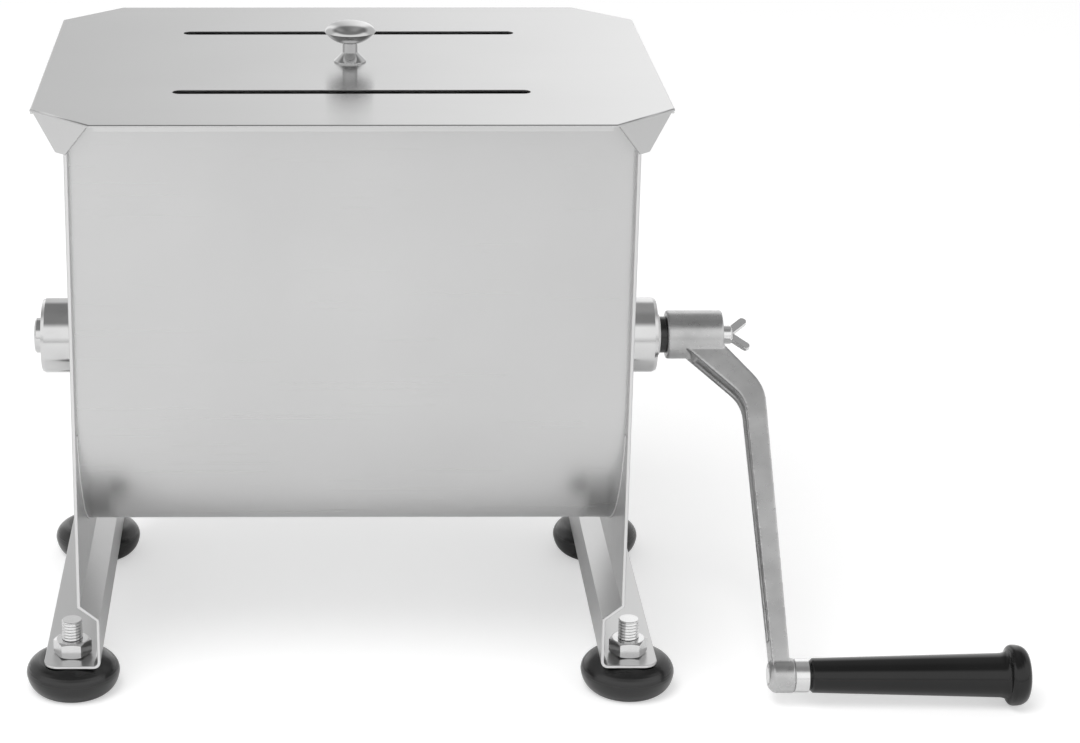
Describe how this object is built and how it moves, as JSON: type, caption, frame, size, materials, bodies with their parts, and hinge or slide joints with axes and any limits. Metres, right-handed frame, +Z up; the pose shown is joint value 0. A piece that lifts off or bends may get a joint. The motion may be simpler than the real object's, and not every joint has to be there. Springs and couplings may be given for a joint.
{
  "type": "manual meat mixer",
  "caption": "Hand-cranked meat mixer: U-shaped stainless tub on bent sheet legs with rubber feet, loose slotted lid with knob, paddle shaft and dogleg crank with a turning grip.",
  "frame": {"origin": "on the table, under the middle of the whole length including the crank", "axes": "+X along the shaft towards the crank, +Y to the back, +Z up"},
  "size_m": [0.4794, 0.235, 0.3111],
  "materials": {
    "satin_steel": "satin brushed stainless sheet",
    "blade_steel": "cut stainless plate",
    "turned_steel": "turned and polished stainless",
    "chrome": "bright chrome",
    "tinned_iron": "bright plated casting",
    "zinc_steel": "bright zinc plate",
    "black_plastic": "glossy moulded black",
    "black_rubber": "satin black rubber",
    "white_acetal": "plain white"
  },
  "bodies": {
    "tub": {"tub_trough": "satin_steel", "left_end_plate": "satin_steel", "right_end_plate": "satin_steel", "left_bearing_boss": "turned_steel", "right_bearing_boss": "turned_steel", "left_bush": "white_acetal", "right_bush": "white_acetal", "foot_front_left": "black_rubber", "foot_front_right": "black_rubber", "foot_rear_left": "black_rubber", "foot_rear_right": "black_rubber", "foot_bolts": "zinc_steel", "foot_nuts": "zinc_steel"},
    "rotor": {"paddle_shaft": "turned_steel", "paddle_tube": "turned_steel", "lock_pin": "zinc_steel", "paddle_arm_1": "turned_steel", "paddle_arm_2": "turned_steel", "paddle_arm_3": "turned_steel", "paddle_arm_4": "turned_steel", "paddle_blade_1": "blade_steel", "paddle_blade_2": "blade_steel", "paddle_blade_3": "blade_steel", "paddle_blade_4": "blade_steel", "shaft_ring": "black_rubber", "crank_arm": "tinned_iron", "grip_pin": "zinc_steel", "grip_collar": "zinc_steel"},
    "grip": {"grip": "black_plastic"},
    "wing_screw": {"wing_screw": "zinc_steel"},
    "lid": {"lid_plate": "satin_steel", "lid_knob": "chrome", "knob_washer": "zinc_steel", "knob_screw": "zinc_steel"}
  },
  "joints": [
    {"name": "crank_turn", "type": "hinge", "parent": "tub", "child": "rotor", "pos_m": [-0.0832, 0, 0.152], "axis": [1, 0, 0], "continuous": true},
    {"name": "grip_spin", "type": "hinge", "parent": "rotor", "child": "grip", "pos_m": [0.1877, -0.10079, 0.0151], "axis": [1, 0, 0], "continuous": true},
    {"name": "wing_screw_turn", "type": "hinge", "parent": "rotor", "child": "wing_screw", "pos_m": [0.1013, 0, 0.152], "axis": [1, 0, 0], "continuous": true},
    {"name": "lid_lift", "type": "slide", "parent": "tub", "child": "lid", "axis": [0, 0, 1], "range_m": [0, 0.12]}
  ]
}
